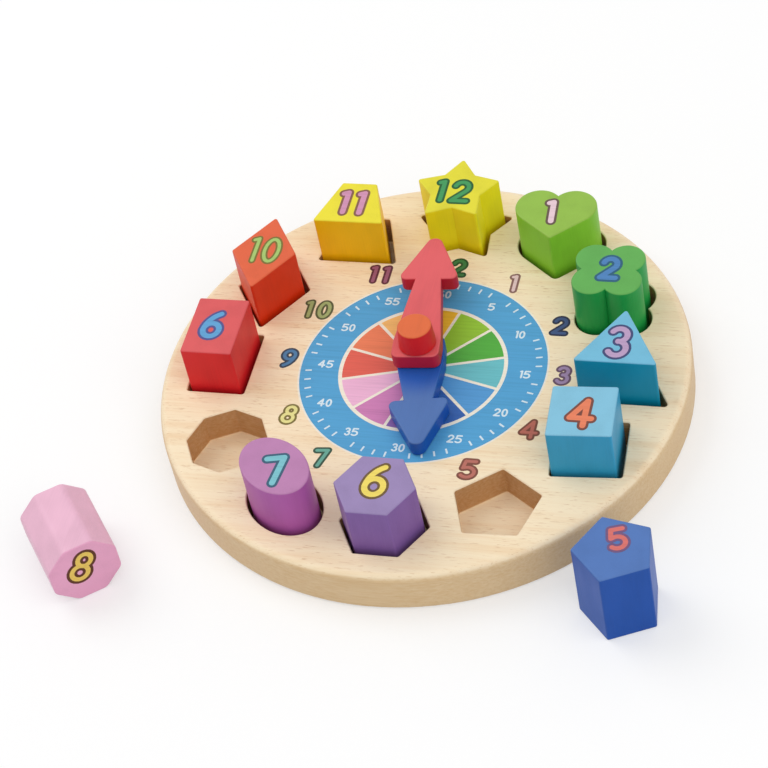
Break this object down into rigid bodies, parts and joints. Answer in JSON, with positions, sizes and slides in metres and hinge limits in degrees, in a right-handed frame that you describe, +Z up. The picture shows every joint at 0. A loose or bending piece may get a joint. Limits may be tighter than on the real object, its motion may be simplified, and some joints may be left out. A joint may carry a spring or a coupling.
{
  "type": "shape sorting clock",
  "caption": "Round wooden teaching clock with routed pockets, a lift-out painted block in each, and two hands that turn on a centre dowel.",
  "frame": {"origin": "middle of the board's flat underside, on the surface that it lies on", "axes": "+Z up out of the dial, +Y towards twelve o'clock, +X towards three o'clock"},
  "size_m": [0.3329, 0.3009, 0.0575],
  "materials": {
    "board_wood": "satin clear lacquer over pale wood, printed dial",
    "dowel_wood": "sanded",
    "cap_paint": "satin paint",
    "hour_hand_paint": "satin paint",
    "minute_hand_paint": "satin paint",
    "apple_green_paint": "satin paint, printed numeral on one end",
    "grass_green_paint": "satin paint, printed numeral on one end",
    "lake_blue_paint": "satin paint, printed numeral on one end",
    "sky_blue_paint": "satin paint, printed numeral on one end",
    "royal_blue_paint": "satin paint, printed numeral on one end",
    "violet_paint": "satin paint, printed numeral on one end",
    "magenta_paint": "satin paint, printed numeral on one end",
    "pale_pink_paint": "satin paint, printed numeral on one end",
    "red_paint": "satin paint, printed numeral on one end",
    "orange_paint": "satin paint, printed numeral on one end",
    "golden_yellow_paint": "satin paint, printed numeral on one end",
    "lemon_yellow_paint": "satin paint, printed numeral on one end"
  },
  "bodies": {
    "board": {"clock_board": "board_wood", "centre_dowel": "dowel_wood", "centre_cap": "cap_paint"},
    "hour_hand": {"hour_hand": "hour_hand_paint"},
    "minute_hand": {"minute_hand": "minute_hand_paint"},
    "block_1_heart": {"block_1_heart": "apple_green_paint"},
    "block_2_quatrefoil": {"block_2_quatrefoil": "grass_green_paint"},
    "block_3_triangle": {"block_3_triangle": "lake_blue_paint"},
    "block_4_square": {"block_4_square": "sky_blue_paint"},
    "block_5_pentagon": {"block_5_pentagon": "royal_blue_paint"},
    "block_6_hexagon": {"block_6_hexagon": "violet_paint"},
    "block_7_oval": {"block_7_oval": "magenta_paint"},
    "block_8_octagon": {"block_8_octagon": "pale_pink_paint"},
    "block_9_rectangle": {"block_9_rectangle": "red_paint"},
    "block_10_rhombus": {"block_10_rhombus": "orange_paint"},
    "block_11_trapezoid": {"block_11_trapezoid": "golden_yellow_paint"},
    "block_12_star": {"block_12_star": "lemon_yellow_paint"}
  },
  "joints": [
    {"name": "hour_hand_turn", "type": "hinge", "parent": "board", "child": "hour_hand", "pos_m": [0, 0, 0.03], "axis": [0, 0, -1], "continuous": true},
    {"name": "minute_hand_turn", "type": "hinge", "parent": "board", "child": "minute_hand", "pos_m": [0, 0, 0.0395], "axis": [0, 0, -1], "continuous": true},
    {"name": "lift_heart", "type": "slide", "parent": "board", "child": "block_1_heart", "axis": [0, 0, 1], "range_m": [0, 0.05]},
    {"name": "lift_quatrefoil", "type": "slide", "parent": "board", "child": "block_2_quatrefoil", "axis": [0, 0, 1], "range_m": [0, 0.05]},
    {"name": "lift_triangle", "type": "slide", "parent": "board", "child": "block_3_triangle", "axis": [0, 0, 1], "range_m": [0, 0.05]},
    {"name": "lift_square", "type": "slide", "parent": "board", "child": "block_4_square", "axis": [0, 0, 1], "range_m": [0, 0.05]},
    {"name": "lift_pentagon", "type": "slide", "parent": "board", "child": "block_5_pentagon", "axis": [0, 0, 1], "range_m": [0, 0.05]},
    {"name": "lift_hexagon", "type": "slide", "parent": "board", "child": "block_6_hexagon", "axis": [0, 0, 1], "range_m": [0, 0.05]},
    {"name": "lift_oval", "type": "slide", "parent": "board", "child": "block_7_oval", "axis": [0, 0, 1], "range_m": [0, 0.05]},
    {"name": "lift_octagon", "type": "slide", "parent": "board", "child": "block_8_octagon", "axis": [0, 0, 1], "range_m": [0, 0.05]},
    {"name": "lift_rectangle", "type": "slide", "parent": "board", "child": "block_9_rectangle", "axis": [0, 0, 1], "range_m": [0, 0.05]},
    {"name": "lift_rhombus", "type": "slide", "parent": "board", "child": "block_10_rhombus", "axis": [0, 0, 1], "range_m": [0, 0.05]},
    {"name": "lift_trapezoid", "type": "slide", "parent": "board", "child": "block_11_trapezoid", "axis": [0, 0, 1], "range_m": [0, 0.05]},
    {"name": "lift_star", "type": "slide", "parent": "board", "child": "block_12_star", "axis": [0, 0, 1], "range_m": [0, 0.05]}
  ]
}
